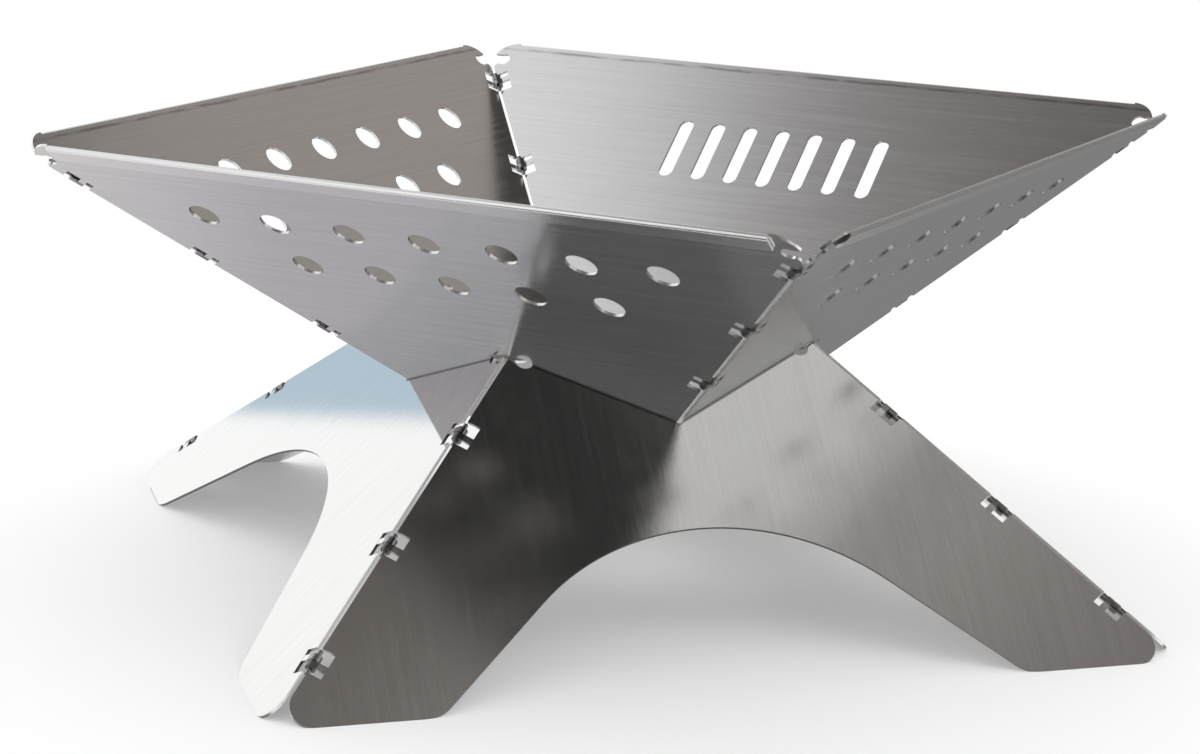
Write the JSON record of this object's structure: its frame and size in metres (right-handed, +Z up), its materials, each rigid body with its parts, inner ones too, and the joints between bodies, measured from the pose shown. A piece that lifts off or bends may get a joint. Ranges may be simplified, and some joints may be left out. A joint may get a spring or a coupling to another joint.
{
  "type": "folding fire pit",
  "caption": "Folding fire pit: an inverted pyramid basket of brushed steel with vent holes and a hemmed rim, resting in a hinged stand with arched feet.",
  "frame": {"origin": "on the floor under the middle of the stand", "axes": "+Z up, -Y the front, where one ridge of the stand points"},
  "size_m": [0.6218, 0.6218, 0.2383],
  "materials": {
    "basket_steel": "brushed, grain along the rim",
    "stand_steel": "brushed, grain up the panel",
    "pin_steel": "satin"
  },
  "bodies": {
    "stand_front_left": {"stand_front_left": "stand_steel", "stand_pin_front_1": "pin_steel", "stand_pin_front_2": "pin_steel", "stand_pin_front_3": "pin_steel", "stand_pin_left_1": "pin_steel", "stand_pin_left_2": "pin_steel", "stand_pin_left_3": "pin_steel"},
    "stand_front_right": {"stand_front_right": "stand_steel", "stand_pin_right_1": "pin_steel", "stand_pin_right_2": "pin_steel", "stand_pin_right_3": "pin_steel"},
    "stand_back_right": {"stand_back_right": "stand_steel"},
    "stand_back_left": {"stand_back_left": "stand_steel", "stand_pin_back_1": "pin_steel", "stand_pin_back_2": "pin_steel", "stand_pin_back_3": "pin_steel"},
    "basket_front": {"basket_front": "basket_steel", "basket_pin_fl_1": "pin_steel", "basket_pin_fl_2": "pin_steel", "basket_pin_fl_3": "pin_steel", "basket_pin_fr_1": "pin_steel", "basket_pin_fr_2": "pin_steel", "basket_pin_fr_3": "pin_steel"},
    "basket_left": {"basket_left": "basket_steel", "basket_pin_bl_1": "pin_steel", "basket_pin_bl_2": "pin_steel", "basket_pin_bl_3": "pin_steel"},
    "basket_back": {"basket_back": "basket_steel"},
    "basket_right": {"basket_right": "basket_steel", "basket_pin_br_1": "pin_steel", "basket_pin_br_2": "pin_steel", "basket_pin_br_3": "pin_steel"}
  },
  "joints": [
    {"name": "lift", "type": "slide", "parent": "stand_front_left", "child": "basket_front", "axis": [0, 0, 1], "range_m": [0, 0.5]},
    {"name": "basket_fl_hinge", "type": "hinge", "parent": "basket_front", "child": "basket_left", "pos_m": [-0.15676, -0.15676, 0.17664], "axis": [-0.5934, -0.5934, 0.5438], "range_deg": [0, 57.07]},
    {"name": "basket_bl_hinge", "type": "hinge", "parent": "basket_left", "child": "basket_back", "pos_m": [-0.15676, 0.15676, 0.17664], "axis": [0.5934, -0.5934, -0.5438], "range_deg": [0, 120.5]},
    {"name": "basket_fr_hinge", "type": "hinge", "parent": "basket_front", "child": "basket_right", "pos_m": [0.15676, -0.15676, 0.17664], "axis": [0.5934, -0.5934, 0.5438], "range_deg": [0, 120.5]},
    {"name": "stand_front_hinge", "type": "hinge", "parent": "stand_front_left", "child": "stand_front_right", "pos_m": [0, -0.22169, 0.06253], "axis": [0, -0.8392, -0.5438], "range_deg": [0, 57.07]},
    {"name": "stand_right_hinge", "type": "hinge", "parent": "stand_front_right", "child": "stand_back_right", "pos_m": [0.22169, 0, 0.06253], "axis": [-0.8392, 0, 0.5438], "range_deg": [0, 120.5]},
    {"name": "stand_left_hinge", "type": "hinge", "parent": "stand_front_left", "child": "stand_back_left", "pos_m": [-0.22169, 0, 0.06253], "axis": [-0.8392, 0, -0.5438], "range_deg": [0, 120.5]}
  ],
  "couplings": [
    {"joint": "basket_fl_hinge", "follows": "lift", "rad_per_m": 1.9921},
    {"joint": "basket_bl_hinge", "follows": "lift", "rad_per_m": 2.7925},
    {"joint": "basket_fr_hinge", "follows": "lift", "rad_per_m": 4.2062},
    {"joint": "stand_front_hinge", "follows": "lift", "rad_per_m": 1.9921},
    {"joint": "stand_right_hinge", "follows": "lift", "rad_per_m": 2.7925},
    {"joint": "stand_left_hinge", "follows": "lift", "rad_per_m": 4.2062}
  ]
}
